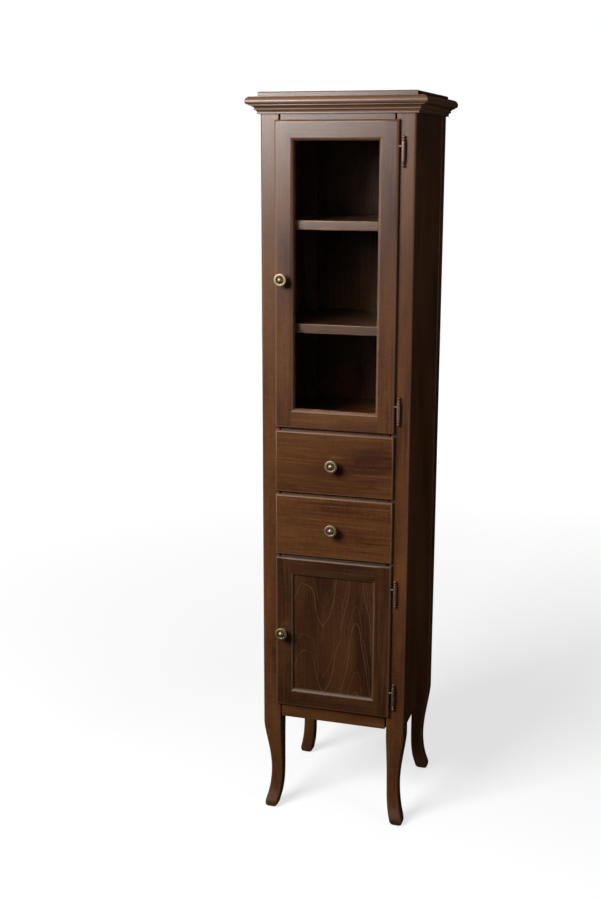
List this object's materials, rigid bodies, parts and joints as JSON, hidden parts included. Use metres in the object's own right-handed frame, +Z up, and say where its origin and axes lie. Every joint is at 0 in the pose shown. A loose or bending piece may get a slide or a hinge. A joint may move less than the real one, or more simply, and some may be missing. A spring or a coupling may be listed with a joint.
{
  "type": "tall bathroom cabinet",
  "caption": "Tall narrow wooden cabinet on curved legs, with a moulded cornice, a glazed door over shelves, drawers and a panelled lower door",
  "frame": {"origin": "on the floor under the middle of the bounding box (knob tips to back)", "axes": "+Z up, -Y towards the person in front of the doors, +X to that person's right"},
  "size_m": [0.4, 0.3734, 1.7],
  "materials": {
    "stained_wood": "walnut stain under satin lacquer",
    "inner_wood": "stained, thin lacquer",
    "clear_glass": "clear polished",
    "antique_brass": "antiqued, worn bright on the rim",
    "dark_bronze": "dark bronzed",
    "steel": "zinc plated",
    "catch_plastic": "matt"
  },
  "bodies": {
    "carcass": {"back_left_post": "stained_wood", "back_panel": "inner_wood", "back_right_post": "stained_wood", "bottom_back_rail": "stained_wood", "bottom_board": "inner_wood", "bottom_front_rail": "stained_wood", "cornice_front": "stained_wood", "cornice_left": "stained_wood", "cornice_right": "stained_wood", "door_catches": "catch_plastic", "drawer_runners": "inner_wood", "dust_board": "inner_wood", "frame_hinge_halves": "dark_bronze", "front_left_post": "stained_wood", "front_right_post": "stained_wood", "glass_compartment_floor": "stained_wood", "left_side_panel": "stained_wood", "lower_divider_rail": "stained_wood", "lower_shelf": "stained_wood", "middle_divider_rail": "stained_wood", "right_side_panel": "stained_wood", "shelf_pins": "steel", "top_back_rail": "stained_wood", "top_board": "stained_wood", "top_front_rail": "stained_wood", "upper_divider_rail": "stained_wood", "upper_shelf": "stained_wood"},
    "glass_door": {"glass_door_bottom_rail": "stained_wood", "glass_door_glazing_beads": "stained_wood", "glass_door_hinge_halves": "dark_bronze", "glass_door_hinge_stile": "stained_wood", "glass_door_knob": "antique_brass", "glass_door_knob_screw": "steel", "glass_door_latch_stile": "stained_wood", "glass_door_pane": "clear_glass", "glass_door_strike_plate": "steel", "glass_door_top_rail": "stained_wood"},
    "lower_door": {"lower_door_bottom_rail": "stained_wood", "lower_door_hinge_halves": "dark_bronze", "lower_door_hinge_stile": "stained_wood", "lower_door_knob": "antique_brass", "lower_door_knob_screw": "steel", "lower_door_latch_stile": "stained_wood", "lower_door_panel": "stained_wood", "lower_door_strike_plate": "steel", "lower_door_top_rail": "stained_wood"},
    "upper_drawer": {"upper_drawer_back": "inner_wood", "upper_drawer_bottom": "inner_wood", "upper_drawer_front": "stained_wood", "upper_drawer_knob": "antique_brass", "upper_drawer_knob_screw": "steel", "upper_drawer_left_side": "inner_wood", "upper_drawer_right_side": "inner_wood"},
    "lower_drawer": {"lower_drawer_back": "inner_wood", "lower_drawer_bottom": "inner_wood", "lower_drawer_front": "stained_wood", "lower_drawer_knob": "antique_brass", "lower_drawer_knob_screw": "steel", "lower_drawer_left_side": "inner_wood", "lower_drawer_right_side": "inner_wood"}
  },
  "joints": [
    {"name": "glass_door_hinge", "type": "hinge", "parent": "carcass", "child": "glass_door", "pos_m": [0.1471, -0.15525, 1.2954], "axis": [0, 0, 1], "range_deg": [0, 165]},
    {"name": "lower_door_hinge", "type": "hinge", "parent": "carcass", "child": "lower_door", "pos_m": [0.1471, -0.15525, 0.4624], "axis": [0, 0, 1], "range_deg": [0, 165]},
    {"name": "upper_drawer_slide", "type": "slide", "parent": "carcass", "child": "upper_drawer", "axis": [0, -1, 0], "range_m": [0, 0.22]},
    {"name": "lower_drawer_slide", "type": "slide", "parent": "carcass", "child": "lower_drawer", "axis": [0, -1, 0], "range_m": [0, 0.22]}
  ]
}
